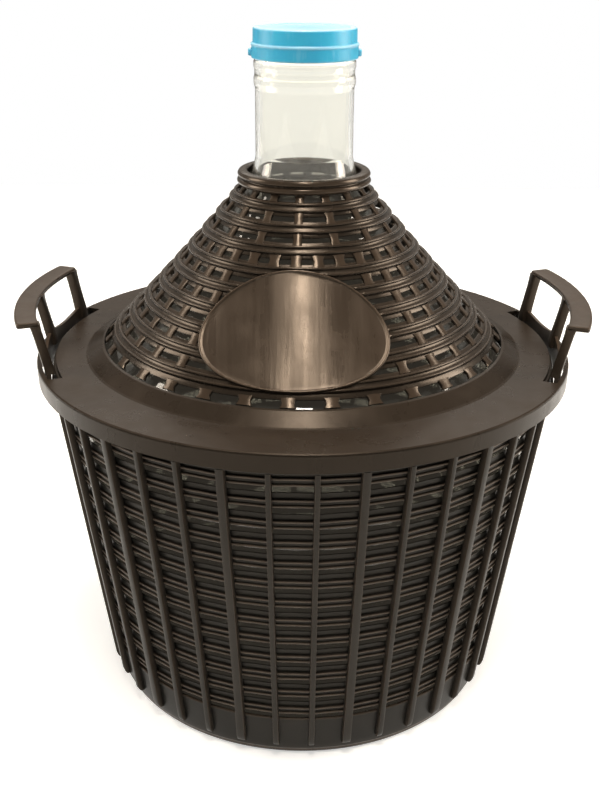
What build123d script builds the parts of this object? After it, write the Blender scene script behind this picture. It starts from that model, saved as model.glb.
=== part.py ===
"""Wide-mouth glass demijohn in a ventilated plastic basket, with lift-off cover, handles and cap.

Frame: millimetres, +Z up, origin at the centre of the basket's base, label plate towards -Y,
handles towards +X and -X.
"""
import math
import os

from build123d import *

os.makedirs("parts", exist_ok=True)

# ---------------------------------------------------------------- driving dimensions
# basket wall: a straight cone whose outer hoop surface grows with height
WALL_FOOT_RADIUS = 184.0
WALL_SLOPE = 0.1435
FLOOR_UNDERSIDE = 4.0
FLOOR_TOP = 8.0
BAND_TOP = 43.5
BAND_THICKNESS = 3.2

# each hoop: a pair of ridges, and above them a flat ledge set back from the ridges
HOOP_COUNT = 13
HOOP_FIRST_Z = 52.5
HOOP_PITCH = 20.0
HOOP_HALF = 4.0
HOOP_LEDGE_TOP = 9.8
HOOP_LEDGE_SINK = 1.6
HOOP_DEPTH = 3.2
HOOP_RIDGE_DEPTH = 1.3

RIB_COUNT = 38
RIB_FRONT_ANGLE = 273.0
RIB_WIDE = 7.6
RIB_NARROW = 5.0
RIB_DEPTH = 5.5
RIB_FOOT_Z = 14.0
RIB_TOP_Z = 303.0

RIM_BOTTOM = 303.0
RIM_TOP = 322.0
RIM_INNER_RADIUS = 223.0
RIM_OUTER_RADIUS = 232.9

# cover: a stepped cone of double-ridged rings over a flat flange with a hanging skirt
CONE_TOP_RADIUS = 49.6
CONE_TOP_Z = 486.1
CONE_FOOT_RADIUS = 188.0
CONE_DROP = 153.9
CONE_SAG = 17.5
SHELL_THICKNESS = 3.0
RING_COUNT = 9
RING_FIRST_RADIUS = 63.4
RING_PITCH = 12.3
RING_PITCH_GROWTH = 0.145
RING_HALF_WIDTH = 4.4
RING_RIDGE = 1.5
WINDOW_SINK = 1.4
WINDOW_LENGTH = 5.6
TOP_WINDOW_LENGTH = 4.0
LOW_WINDOW_LENGTH = 6.2
TOP_WINDOW_RADIUS = 58.3
LOW_WINDOW_RADIUS = 179.9
COLLAR_INNER_RADIUS = 50.4
COLLAR_BORE_TOP = 491.0
COARSE_ROWS = 3
COARSE_WINDOWS = 16
FINE_WINDOWS = 32
BRIDGE_FRONT_ANGLE = 266.3
BRIDGE_WIDTH = 7.0
FINE_BRIDGE_WIDTH = 9.0
LOW_BRIDGE_WIDTH = 12.0

FLANGE_CONE_RADIUS = 184.0
FLANGE_BEND_RADIUS = 199.0
FLANGE_RADIUS = 245.0
FLANGE_TOP_Z = 326.0
FLANGE_THICKNESS = 3.4
SKIRT_BOTTOM = 310.0
SKIRT_THICKNESS = 3.0
SLOT_INNER_RADIUS = 228.0
SLOT_OUTER_RADIUS = 240.6
SLOT_HALF_ANGLE = 24.5

PLATE_ANGLE = -93.3
PLATE_MID_RADIUS = 137.1
PLATE_HALF_WIDTH = 78.4
PLATE_HALF_HEIGHT = 54.3
PLATE_PROUD = 1.8

# handles: a flat curved grip over three legs whose tangs drop through the flange slots
GRIP_INNER_RADIUS = 242.0
GRIP_OUTER_RADIUS = 261.0
GRIP_TOP_Z = 374.0
GRIP_THICKNESS = 5.0
GRIP_HALF_ANGLE = 20.5
LEG_ANGLES = (-19.3, 0.0, 19.3)
LEG_DEPTH = 5.6
LEG_WIDTH = 8.0
LEG_TOP_RADIUS = 245.6
LEG_FOOT_RADIUS = 236.6
WEB_TOP_Z = 336.0
TANG_BOTTOM_Z = 305.0
TANG_INNER_RADIUS = 233.6
TANG_OUTER_RADIUS = 239.6

# glass
GLASS_WALL = 4.6
NECK_RADIUS = 43.0
NECK_BEAD_RADIUS = 44.2
MOUTH_OUTER_RADIUS = 42.6
MOUTH_INNER_RADIUS = 38.5
NECK_FOOT_Z = 502.0
SHOULDER_FOOT_Z = 300.0
BELLY_FOOT_Z = 60.0
LIP_TOP_Z = 607.0

# cap
CAP_BOTTOM_Z = 585.4
CAP_TOP_Z = 611.5
CAP_INNER_RADIUS = 43.0
CAP_TOP_RADIUS = 44.6
CAP_BAND_RADIUS = 46.2
CAP_RIDGE_Z = 597.0
CAP_LUG_RADIUS = 48.6
CAP_LUG_WIDTH = 9.0


def wall_radius(z):
    """Outer radius of the basket's hoops at height z."""
    return WALL_FOOT_RADIUS + WALL_SLOPE * z


def cone_height(r):
    """Height of the cover's nominal cone surface at radius r: a straight fall with a slight sag."""
    t = (r - CONE_TOP_RADIUS) / (CONE_FOOT_RADIUS - CONE_TOP_RADIUS)
    return CONE_TOP_Z - CONE_DROP * t - CONE_SAG * t * (1 - t)


def cone_slope(r):
    """Unit vector down the cone's slant at radius r, as (dr, dz)."""
    t = (r - CONE_TOP_RADIUS) / (CONE_FOOT_RADIUS - CONE_TOP_RADIUS)
    fall = -(CONE_DROP + CONE_SAG * (1 - 2 * t)) / (CONE_FOOT_RADIUS - CONE_TOP_RADIUS)
    length = math.hypot(1.0, fall)
    return 1.0 / length, fall / length


def on_cone(r, along, out):
    """Section point that lies `along` the slant and `out` along its normal from radius r."""
    dr, dz = cone_slope(r)
    return r + along * dr - out * dz, cone_height(r) + along * dz + out * dr


# ---------------------------------------------------------------- basket
with BuildPart() as basket_base:
    with BuildSketch(Plane.XZ) as base_section:
        with BuildLine():
            Polyline(
                (0, FLOOR_UNDERSIDE),
                (158, FLOOR_UNDERSIDE),
                (162, 0),
                (180, 0),
                (182.8, 3),
                (wall_radius(RIB_FOOT_Z), RIB_FOOT_Z),
                (wall_radius(BAND_TOP), BAND_TOP),
                (wall_radius(BAND_TOP) - BAND_THICKNESS, BAND_TOP),
                (179.5, FLOOR_TOP + 3),
                (176.0, FLOOR_TOP),
                (0, FLOOR_TOP),
                close=True,
            )
        make_face()
    revolve(axis=Axis.Z)
basket_base.part.label = "basket_base"
export_step(basket_base.part, "parts/basket_base.step")

with BuildPart() as basket_hoops:
    for index in range(HOOP_COUNT):
        middle = HOOP_FIRST_Z + index * HOOP_PITCH
        low = middle - HOOP_HALF
        high = middle + HOOP_HALF
        ledge = middle + HOOP_LEDGE_TOP
        with BuildSketch(Plane.XZ) as hoop_section:
            with BuildLine():
                Polyline(
                    (wall_radius(low) - HOOP_DEPTH, low),
                    (wall_radius(low) - 0.4, low),
                    (wall_radius(low + 0.5), low + 0.5),
                    (wall_radius(low + 2.2), low + 2.2),
                    (wall_radius(low + 2.8) - HOOP_RIDGE_DEPTH, low + 2.8),
                    (wall_radius(high - 2.8) - HOOP_RIDGE_DEPTH, high - 2.8),
                    (wall_radius(high - 2.2), high - 2.2),
                    (wall_radius(high - 0.5), high - 0.5),
                    (wall_radius(high) - 0.4, high),
                    (wall_radius(high + 0.6) - HOOP_LEDGE_SINK, high + 0.6),
                    (wall_radius(ledge) - HOOP_LEDGE_SINK, ledge),
                    (wall_radius(ledge) - HOOP_DEPTH, ledge),
                    close=True,
                )
            make_face()
        revolve(axis=Axis.Z)
basket_hoops.part.label = "basket_hoops"
export_step(basket_hoops.part, "parts/basket_hoops.step")

with BuildPart() as basket_ribs:
    for index in range(RIB_COUNT):
        angle = RIB_FRONT_ANGLE + index * 360.0 / RIB_COUNT
        step = index if index <= RIB_COUNT // 2 else index - RIB_COUNT
        width = RIB_WIDE if step % 3 == 1 else RIB_NARROW
        radial = Plane.XZ.rotated((0, 0, angle))
        with BuildSketch(radial) as rib_section:
            with BuildLine():
                Polyline(
                    (wall_radius(RIB_FOOT_Z), RIB_FOOT_Z),
                    (wall_radius(RIB_FOOT_Z) + RIB_DEPTH - 1.5, RIB_FOOT_Z),
                    (wall_radius(RIB_FOOT_Z + 5) + RIB_DEPTH, RIB_FOOT_Z + 5),
                    (wall_radius(RIB_TOP_Z) + RIB_DEPTH, RIB_TOP_Z),
                    (wall_radius(RIB_TOP_Z), RIB_TOP_Z),
                    close=True,
                )
            make_face()
        extrude(amount=width / 2, both=True)
basket_ribs.part.label = "basket_ribs"
export_step(basket_ribs.part, "parts/basket_ribs.step")

with BuildPart() as basket_rim:
    with BuildSketch(Plane.XZ) as rim_section:
        with BuildLine():
            Polyline(
                (RIM_INNER_RADIUS, RIM_BOTTOM),
                (RIM_OUTER_RADIUS, RIM_BOTTOM),
                (RIM_OUTER_RADIUS, RIM_BOTTOM + 5),
                (RIM_OUTER_RADIUS - 2.4, RIM_BOTTOM + 7.4),
                (RIM_OUTER_RADIUS - 2.4, RIM_TOP - 1),
                (RIM_OUTER_RADIUS - 3.4, RIM_TOP),
                (RIM_INNER_RADIUS + 1, RIM_TOP),
                (RIM_INNER_RADIUS, RIM_TOP - 1),
                close=True,
            )
        make_face()
    revolve(axis=Axis.Z)
basket_rim.part.label = "basket_rim"
export_step(basket_rim.part, "parts/basket_rim.step")

# ---------------------------------------------------------------- glass demijohn
with BuildPart() as carboy_glass:
    with BuildSketch(Plane.XZ) as glass_section:
        with BuildLine():
            punt = Line((0, 15.0), (96, 11.5))
            heel = Line((96, 11.5), (118, FLOOR_TOP + 0.4))
            foot = Line(heel @ 1, (146, FLOOR_TOP + 0.4))
            body = Spline(
                foot @ 1,
                (166, 15.0),
                (179.5, 34.0),
                (186, 62.0),
                (192, 100.0),
                (198, 140.0),
                (203.8, 180.0),
                (209.6, 220.0),
                (213, 252.0),
                (210.5, 280.0),
                (199, 306.0),
                (179, 328.5),
                (154, 351.5),
                (128, 377.5),
                (103, 405.0),
                (80, 433.0),
                (61, 460.0),
                (48.4, 482.0),
                (NECK_RADIUS, NECK_FOOT_Z),
            )
            neck = Line(body @ 1, (NECK_RADIUS, 562.0))
            bead = Polyline(
                neck @ 1,
                (NECK_BEAD_RADIUS, 564.5),
                (NECK_BEAD_RADIUS, 569.5),
                (NECK_RADIUS + 0.4, 571.5),
                (NECK_RADIUS + 0.4, 576.5),
                (NECK_BEAD_RADIUS, 578.5),
                (NECK_BEAD_RADIUS, 583.5),
                (MOUTH_OUTER_RADIUS, 585.0),
                (MOUTH_OUTER_RADIUS, LIP_TOP_Z - 1.4),
            )
            lip = ThreePointArc(
                bead @ 1,
                (MOUTH_OUTER_RADIUS - 2.05, LIP_TOP_Z),
                (MOUTH_INNER_RADIUS, LIP_TOP_Z - 1.4),
            )
            throat = Line(lip @ 1, (MOUTH_INNER_RADIUS, NECK_FOOT_Z))
            inside = Spline(
                throat @ 1,
                (46.6, 474.0),
                (62.8, 448.4),
                (80.4, 425.0),
                (99.1, 402.4),
                (118.6, 381.0),
                (138.7, 360.2),
                (159.8, 340.0),
                (181.0, 320.8),
                (198.4, 299.6),
                (206.6, 274.0),
                (208.3, 248.0),
                (204.6, 217.7),
                (196.1, 160.7),
                (187.8, 103.9),
                (183.2, 75.6),
                (177.6, 47.3),
                (165.8, 23.2),
                (146, FLOOR_TOP + 0.4 + GLASS_WALL + 1.0),
            )
            floor = Line(inside @ 1, (112, FLOOR_TOP + 0.4 + GLASS_WALL + 1.0))
            dome = Line(floor @ 1, (90, 17.5))
            crown = Line(dome @ 1, (0, 21.0))
            axis_line = Line(crown @ 1, (0, 15.0))
        make_face()
    revolve(axis=Axis.Z)


def glass_ring(name, low, high):
    """The part of the glass between two heights, exported under its own name."""
    with BuildPart() as ring:
        add(carboy_glass.part)
        with Locations((0, 0, (low + high) / 2)):
            Cylinder(260.0, high - low, mode=Mode.INTERSECT)
    ring.part.label = name
    export_step(ring.part, f"parts/{name}.step")
    return ring


# the one glass vessel, given as four stacked rings
carboy_neck = glass_ring("carboy_neck", NECK_FOOT_Z, 640.0)
carboy_shoulder = glass_ring("carboy_shoulder", SHOULDER_FOOT_Z, NECK_FOOT_Z)
carboy_belly = glass_ring("carboy_belly", BELLY_FOOT_Z, SHOULDER_FOOT_Z)
carboy_foot = glass_ring("carboy_foot", 0.0, BELLY_FOOT_Z)

# ---------------------------------------------------------------- cap
with BuildPart() as cap:
    with BuildSketch(Plane.XZ) as cap_section:
        with BuildLine():
            Polyline(
                (0, CAP_TOP_Z - 1.0),
                (CAP_TOP_RADIUS - 6.0, CAP_TOP_Z - 1.0),
                (CAP_TOP_RADIUS - 4.6, CAP_TOP_Z),
                (CAP_TOP_RADIUS - 1.2, CAP_TOP_Z),
                (CAP_TOP_RADIUS, CAP_TOP_Z - 1.2),
                (CAP_TOP_RADIUS + 0.3, CAP_RIDGE_Z + 1.2),
                (CAP_BAND_RADIUS + 0.3, CAP_RIDGE_Z + 0.6),
                (CAP_BAND_RADIUS + 0.3, CAP_RIDGE_Z - 0.6),
                (CAP_BAND_RADIUS - 0.3, CAP_RIDGE_Z - 1.4),
                (CAP_BAND_RADIUS, CAP_BOTTOM_Z + 0.8),
                (CAP_BAND_RADIUS - 0.8, CAP_BOTTOM_Z),
                (CAP_INNER_RADIUS, CAP_BOTTOM_Z),
                (CAP_INNER_RADIUS, LIP_TOP_Z + 0.4),
                (0, LIP_TOP_Z + 0.4),
                close=True,
            )
        make_face()
    revolve(axis=Axis.Z)
    for side in (-1, 1):
        with BuildSketch(Plane.XY.offset(CAP_BOTTOM_Z + 1.4)) as lug_section:
            with Locations((side * (CAP_LUG_RADIUS + CAP_BAND_RADIUS - 1.0) / 2, 0)):
                RectangleRounded(CAP_LUG_RADIUS - CAP_BAND_RADIUS + 1.0, CAP_LUG_WIDTH, 0.9)
        extrude(amount=6.5)
cap.part.label = "cap"
export_step(cap.part, "parts/cap.step")

# ---------------------------------------------------------------- cover
ring_radii = [
    RING_FIRST_RADIUS + index * RING_PITCH + index**2 * RING_PITCH_GROWTH
    for index in range(RING_COUNT)
]

with BuildPart() as plate_cutter:
    plate_r, plate_z = on_cone(PLATE_MID_RADIUS, 0, 0)
    slant_r, slant_z = cone_slope(PLATE_MID_RADIUS)
    turn = math.radians(PLATE_ANGLE)
    outward = (-slant_z * math.cos(turn), -slant_z * math.sin(turn), slant_r)
    sideways = (-math.sin(turn), math.cos(turn), 0)
    plate_middle = (plate_r * math.cos(turn), plate_r * math.sin(turn), plate_z)
    plate_plane = Plane(origin=plate_middle, x_dir=sideways, z_dir=outward)
    with BuildSketch(plate_plane) as plate_outline:
        Ellipse(PLATE_HALF_WIDTH, PLATE_HALF_HEIGHT)
    extrude(amount=40, both=True)

row_radii = [TOP_WINDOW_RADIUS]
row_radii += [(above + below) / 2 for above, below in zip(ring_radii[:-1], ring_radii[1:])]
row_radii += [LOW_WINDOW_RADIUS]
window_counts = [COARSE_WINDOWS] * COARSE_ROWS + [FINE_WINDOWS] * (RING_COUNT + 1 - COARSE_ROWS)
window_cutters = []
for row, radius in enumerate(row_radii):
    bridge = BRIDGE_WIDTH if row < COARSE_ROWS else FINE_BRIDGE_WIDTH
    bridge = LOW_BRIDGE_WIDTH if row == RING_COUNT else bridge
    length = {0: TOP_WINDOW_LENGTH, RING_COUNT: LOW_WINDOW_LENGTH}.get(row, WINDOW_LENGTH)
    width = 2 * math.pi * radius / window_counts[row] - bridge
    middle_r, middle_z = on_cone(radius, 0, 0)
    down_r, down_z = cone_slope(radius)
    place = Plane(origin=(middle_r, 0, middle_z), x_dir=(0, 1, 0), z_dir=(-down_z, 0, down_r))
    with BuildPart() as window:
        with BuildSketch(place) as window_outline:
            Rectangle(width, length)
        extrude(amount=9, both=True)
    window_cutters.append(window.part)

with BuildPart() as cover_cone:
    with BuildSketch(Plane.XZ) as cone_section:
        outer = [
            (COLLAR_INNER_RADIUS, COLLAR_BORE_TOP - 1.5),
            (COLLAR_INNER_RADIUS + 1.5, COLLAR_BORE_TOP),
            (COLLAR_INNER_RADIUS + 5.4, COLLAR_BORE_TOP),
            (COLLAR_INNER_RADIUS + 8.0, COLLAR_BORE_TOP - 1.8),
            (COLLAR_INNER_RADIUS + 8.6, COLLAR_BORE_TOP - 4.2),
            (COLLAR_INNER_RADIUS + 7.8, COLLAR_BORE_TOP - 5.4),
            (COLLAR_INNER_RADIUS + 8.4, COLLAR_BORE_TOP - 6.2),
            (COLLAR_INNER_RADIUS + 8.4, COLLAR_BORE_TOP - 8.6),
            (COLLAR_INNER_RADIUS + 7.2, COLLAR_BORE_TOP - 9.8),
            (COLLAR_INNER_RADIUS + 5.0, COLLAR_BORE_TOP - 10.8),
        ]
        for radius in ring_radii:
            half = RING_HALF_WIDTH
            outer += [
                on_cone(radius, -half, -WINDOW_SINK),
                on_cone(radius, -half + 0.2, 0.3),
                on_cone(radius, -half + 0.9, RING_RIDGE),
                on_cone(radius, -2.4, RING_RIDGE),
                on_cone(radius, -1.4, 0.2),
                on_cone(radius, 1.4, 0.2),
                on_cone(radius, 2.4, RING_RIDGE),
                on_cone(radius, half - 0.9, RING_RIDGE),
                on_cone(radius, half - 0.2, 0.3),
                on_cone(radius, half, -WINDOW_SINK),
            ]
        foot = on_cone(FLANGE_CONE_RADIUS, -2.2, 0)
        outer += [on_cone(FLANGE_CONE_RADIUS, -2.2, -WINDOW_SINK), foot]
        outer += [(FLANGE_CONE_RADIUS, cone_height(FLANGE_CONE_RADIUS))]
        inner = [(FLANGE_CONE_RADIUS, cone_height(FLANGE_CONE_RADIUS) - 4.4)]
        for radius in reversed(ring_radii):
            inner += [on_cone(radius, 0, -SHELL_THICKNESS)]
        inner += [(COLLAR_INNER_RADIUS, COLLAR_BORE_TOP - 11.0)]
        with BuildLine():
            Polyline(*outer, *inner, close=True)
        make_face()
    revolve(axis=Axis.Z)
    for row in range(RING_COUNT + 1):
        half_step = 180.0 / window_counts[row]
        with PolarLocations(0, window_counts[row], BRIDGE_FRONT_ANGLE + half_step):
            add(window_cutters[row], mode=Mode.SUBTRACT)
    add(plate_cutter.part, mode=Mode.SUBTRACT)
cover_cone.part.label = "cover_cone"
export_step(cover_cone.part, "parts/cover_cone.step")

with BuildPart() as label_plate:
    with BuildSketch(Plane.XZ) as plate_section:
        top = 92.0
        bottom = 182.0
        steps = [top + (bottom - top) * index / 6 for index in range(7)]
        with BuildLine():
            Polyline(
                *[on_cone(r, 0, PLATE_PROUD) for r in steps],
                *[on_cone(r, 0, -SHELL_THICKNESS) for r in reversed(steps)],
                close=True,
            )
        make_face()
    revolve(axis=Axis.Z)
    add(plate_cutter.part, mode=Mode.INTERSECT)
label_plate.part.label = "label_plate"
export_step(label_plate.part, "parts/label_plate.step")

with BuildPart() as cover_flange:
    with BuildSketch(Plane.XZ) as flange_section:
        cone_edge = cone_height(FLANGE_CONE_RADIUS)
        under = FLANGE_TOP_Z - FLANGE_THICKNESS
        with BuildLine():
            Polyline(
                (FLANGE_CONE_RADIUS, cone_edge),
                (FLANGE_CONE_RADIUS + 2.0, cone_edge - 0.6),
                (FLANGE_BEND_RADIUS, FLANGE_TOP_Z + 1.0),
                (FLANGE_BEND_RADIUS + 2.0, FLANGE_TOP_Z + 0.2),
                (FLANGE_RADIUS - 1.8, FLANGE_TOP_Z),
                (FLANGE_RADIUS - 0.4, FLANGE_TOP_Z - 0.6),
                (FLANGE_RADIUS, FLANGE_TOP_Z - 2.0),
                (FLANGE_RADIUS - 0.4, SKIRT_BOTTOM),
                (FLANGE_RADIUS - SKIRT_THICKNESS, SKIRT_BOTTOM),
                (FLANGE_RADIUS - SKIRT_THICKNESS, under),
                (FLANGE_BEND_RADIUS - 0.5, under),
                (FLANGE_CONE_RADIUS, cone_edge - 4.4),
                close=True,
            )
        make_face()
    revolve(axis=Axis.Z)
    for middle in (0.0, 180.0):
        with BuildSketch(Plane.XY.offset(under - 4)) as slot_outline:
            with BuildLine():
                low = middle - SLOT_HALF_ANGLE
                high = middle + SLOT_HALF_ANGLE
                inner_edge = CenterArc((0, 0), SLOT_INNER_RADIUS, low, high - low)
                outer_edge = CenterArc((0, 0), SLOT_OUTER_RADIUS, low, high - low)
                Line(inner_edge @ 0, outer_edge @ 0)
                Line(inner_edge @ 1, outer_edge @ 1)
            make_face()
        extrude(amount=12, mode=Mode.SUBTRACT)
cover_flange.part.label = "cover_flange"
export_step(cover_flange.part, "parts/cover_flange.step")


# ---------------------------------------------------------------- handles
def build_handle(name, middle):
    """One handle centred on the bearing `middle`: grip, three leaning legs, web and tang."""
    with BuildPart() as handle:
        start = middle - GRIP_HALF_ANGLE
        sweep_angle = 2 * GRIP_HALF_ANGLE
        with BuildSketch(Plane.XY.offset(GRIP_TOP_Z - GRIP_THICKNESS)) as grip_outline:
            with BuildLine():
                grip_inner = CenterArc((0, 0), GRIP_INNER_RADIUS, start, sweep_angle)
                grip_outer = CenterArc((0, 0), GRIP_OUTER_RADIUS, start, sweep_angle)
                Line(grip_inner @ 0, grip_outer @ 0)
                Line(grip_inner @ 1, grip_outer @ 1)
            make_face()
        extrude(amount=GRIP_THICKNESS)
        fillet(handle.edges().filter_by(GeomType.CIRCLE), 1.2)
        for offset_angle in LEG_ANGLES:
            radial = Plane.XZ.rotated((0, 0, middle + offset_angle))
            with BuildSketch(radial):
                with BuildLine():
                    Polyline(
                        (LEG_FOOT_RADIUS - LEG_DEPTH / 2, FLANGE_TOP_Z - 6),
                        (LEG_FOOT_RADIUS + LEG_DEPTH / 2, FLANGE_TOP_Z - 6),
                        (LEG_FOOT_RADIUS + LEG_DEPTH / 2 + 0.6, FLANGE_TOP_Z + 3),
                        (LEG_TOP_RADIUS + LEG_DEPTH / 2, GRIP_TOP_Z - 3),
                        (LEG_TOP_RADIUS - LEG_DEPTH / 2, GRIP_TOP_Z - 1.5),
                        (LEG_FOOT_RADIUS - LEG_DEPTH / 2, FLANGE_TOP_Z + 3),
                        close=True,
                    )
                make_face()
            extrude(amount=LEG_WIDTH / 2, both=True)
        with BuildSketch(Plane.XY.offset(TANG_BOTTOM_Z)) as tang_outline:
            with BuildLine():
                tang_inner = CenterArc((0, 0), TANG_INNER_RADIUS, start, sweep_angle)
                tang_outer = CenterArc((0, 0), TANG_OUTER_RADIUS, start, sweep_angle)
                Line(tang_inner @ 0, tang_outer @ 0)
                Line(tang_inner @ 1, tang_outer @ 1)
            make_face()
        extrude(amount=FLANGE_TOP_Z - 2 - TANG_BOTTOM_Z)
        with BuildSketch(Plane.XY.offset(FLANGE_TOP_Z - 4)) as web_outline:
            with BuildLine():
                web_inner = CenterArc((0, 0), TANG_INNER_RADIUS + 0.8, start + 0.8, sweep_angle - 1.6)
                web_outer = CenterArc((0, 0), TANG_OUTER_RADIUS - 1.2, start + 0.8, sweep_angle - 1.6)
                Line(web_inner @ 0, web_outer @ 0)
                Line(web_inner @ 1, web_outer @ 1)
            make_face()
        extrude(amount=WEB_TOP_Z - FLANGE_TOP_Z + 4)
    handle.part.label = name
    export_step(handle.part, f"parts/{name}.step")


build_handle("right_handle", 0.0)
build_handle("left_handle", 180.0)
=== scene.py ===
"""Looks of a wide-mouth glass demijohn in its ventilated plastic basket.

Every piece is a surface worked out on a grid with numpy, in metres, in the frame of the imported
model: +Z up, the label plate towards -Y, the handles towards +X and -X.
"""

import logging
import math
from dataclasses import dataclass, field
from enum import Enum
from typing import Callable, Sequence, Union

import bmesh
import bpy
import numpy as np
from mathutils import Matrix


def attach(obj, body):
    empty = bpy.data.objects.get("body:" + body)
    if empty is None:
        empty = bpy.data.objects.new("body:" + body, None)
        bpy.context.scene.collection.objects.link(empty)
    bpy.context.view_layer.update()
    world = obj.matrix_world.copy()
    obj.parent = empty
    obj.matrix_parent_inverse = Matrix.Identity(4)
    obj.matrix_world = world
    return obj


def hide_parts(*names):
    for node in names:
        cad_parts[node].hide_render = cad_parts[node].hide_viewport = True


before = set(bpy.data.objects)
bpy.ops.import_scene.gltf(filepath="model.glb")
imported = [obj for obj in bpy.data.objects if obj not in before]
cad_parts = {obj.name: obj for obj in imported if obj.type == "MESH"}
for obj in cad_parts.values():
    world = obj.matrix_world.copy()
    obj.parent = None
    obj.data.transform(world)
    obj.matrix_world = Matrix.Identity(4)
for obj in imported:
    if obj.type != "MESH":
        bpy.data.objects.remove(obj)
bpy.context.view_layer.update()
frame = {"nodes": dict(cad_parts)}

log = logging.getLogger("demijohn")

MM = 0.001
TAU = 2.0 * math.pi
Real = Union[float, np.ndarray]
Triple = tuple[float, float, float]


class Body(Enum):
    """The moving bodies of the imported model."""

    BASKET = "basket"
    CARBOY = "carboy"
    COVER = "cover"
    CAP = "cap"


class Slot(Enum):
    """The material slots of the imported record."""

    BASKET = "basket_plastic"
    COVER = "cover_plastic"
    HANDLE = "handle_plastic"
    GLASS = "bottle_glass"
    CAP = "cap_plastic"


# ---- curves and sections
def smooth_through(knots: Sequence[tuple[float, float]], count: int) -> np.ndarray:
    """Natural cubic spline through flat knots.

    The parameter is the chord length added up. The second derivatives come from the usual
    three-term system, and each span is the cubic that blends its two ends.

    Args:
        knots: the points that the curve passes, in order.
        count: how many points to read off, evenly along the parameter.

    Returns:
        An array of count rows and two columns.
    """
    p = np.asarray(knots, dtype=float)
    h = np.hypot(*np.diff(p, axis=0).T)
    t = np.concatenate([[0.0], np.cumsum(h)])
    n = len(p)
    system = np.eye(n)
    right = np.zeros((n, 2))
    inner = np.arange(1, n - 1)
    system[inner, inner - 1] = h[:-1]
    system[inner, inner] = 2.0 * (h[:-1] + h[1:])
    system[inner, inner + 1] = h[1:]
    slope = np.diff(p, axis=0) / h[:, None]
    right[inner] = 6.0 * np.diff(slope, axis=0)
    m = np.linalg.solve(system, right)
    s = np.linspace(0.0, t[-1], count)
    k = np.clip(np.searchsorted(t, s, side="right") - 1, 0, n - 2)
    a = (t[k + 1] - s)[:, None]
    b = (s - t[k])[:, None]
    w = h[k][:, None]
    cubic = (m[k] * a**3 + m[k + 1] * b**3) / (6.0 * w)
    linear = (p[k] / w - m[k] * w / 6.0) * a + (p[k + 1] / w - m[k + 1] * w / 6.0) * b
    return cubic + linear


def softened(
    corners: Sequence[tuple[float, float]], radius: float, closed: bool = True, steps: int = 3
) -> np.ndarray:
    """Polyline with each corner replaced by a short parabola.

    A corner C between neighbours P and N becomes the quadratic blend of three points: one on
    CP, C itself and one on CN, each at most radius or 0.45 of the run away from C.

    Args:
        corners: the polyline's corners, in order.
        radius: how far the rounding may reach along each run.
        closed: whether the last corner joins the first.
        steps: how many spans each rounding has.

    Returns:
        An array of points with two columns.
    """
    c = np.asarray(corners, dtype=float)
    before = np.roll(c, 1, axis=0) - c
    after = np.roll(c, -1, axis=0) - c
    size_before = np.hypot(*before.T)[:, None]
    size_after = np.hypot(*after.T)[:, None]
    start = c + before / size_before * np.minimum(radius, 0.45 * size_before)
    end = c + after / size_after * np.minimum(radius, 0.45 * size_after)
    u = np.linspace(0.0, 1.0, steps + 1)[None, :, None]
    arc = (1 - u) ** 2 * start[:, None] + 2 * u * (1 - u) * c[:, None] + u**2 * end[:, None]
    if closed:
        return arc.reshape(-1, 2)
    return np.concatenate([c[:1], arc[1:-1].reshape(-1, 2), c[-1:]])


def rounded_box(width: float, depth: float, radius: float, steps: int = 3) -> np.ndarray:
    """Closed rectangle, width by depth about its middle, with softened corners."""
    x = width / 2
    y = depth / 2
    return softened([(-x, -y), (x, -y), (x, y), (-x, y)], radius, steps=steps)


def ripple(
    angle: np.ndarray, seed: int, size: float, waves: tuple[int, int] = (2, 9)
) -> np.ndarray:
    """Slow unevenness round a ring: a sum of cosines of the angle with seeded sizes and phases.

    Args:
        angle: the angles, in radians.
        seed: seed of the random sizes and phases.
        size: the rough amplitude of the whole sum.
        waves: the lowest and highest number of waves in a turn.

    Returns:
        An array shaped like angle.
    """
    rng = np.random.default_rng(seed)
    orders = np.arange(waves[0], waves[1] + 1)
    sizes = rng.normal(0.0, 1.0, len(orders)) / np.sqrt(len(orders))
    phases = rng.uniform(0.0, TAU, len(orders))
    return size * np.sum(sizes * np.cos(np.multiply.outer(angle, orders) + phases), axis=-1)


def ramped(value: np.ndarray, start: float, span: float) -> np.ndarray:
    """Share from 0 at start to 1 a span further on, level before and after."""
    return np.clip((value - start) / span, 0.0, 1.0)


def about_axis(radius: Real, turn: Real, height: Real, sideways: Real = 0.0) -> np.ndarray:
    """Points at a radius, a bearing and a height, moved sideways square to the bearing.

    x = radius cos turn - sideways sin turn and y = radius sin turn + sideways cos turn. The
    arguments are spread over one another's shape.
    """
    x = radius * np.cos(turn) - sideways * np.sin(turn)
    y = radius * np.sin(turn) + sideways * np.cos(turn)
    return np.stack(np.broadcast_arrays(x, y, height), axis=-1)


def shown(name: str, data: bpy.types.ID) -> bpy.types.Object:
    """New object made of some data, linked to the scene."""
    thing = bpy.data.objects.new(name, data)
    bpy.context.scene.collection.objects.link(thing)
    return thing


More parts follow.
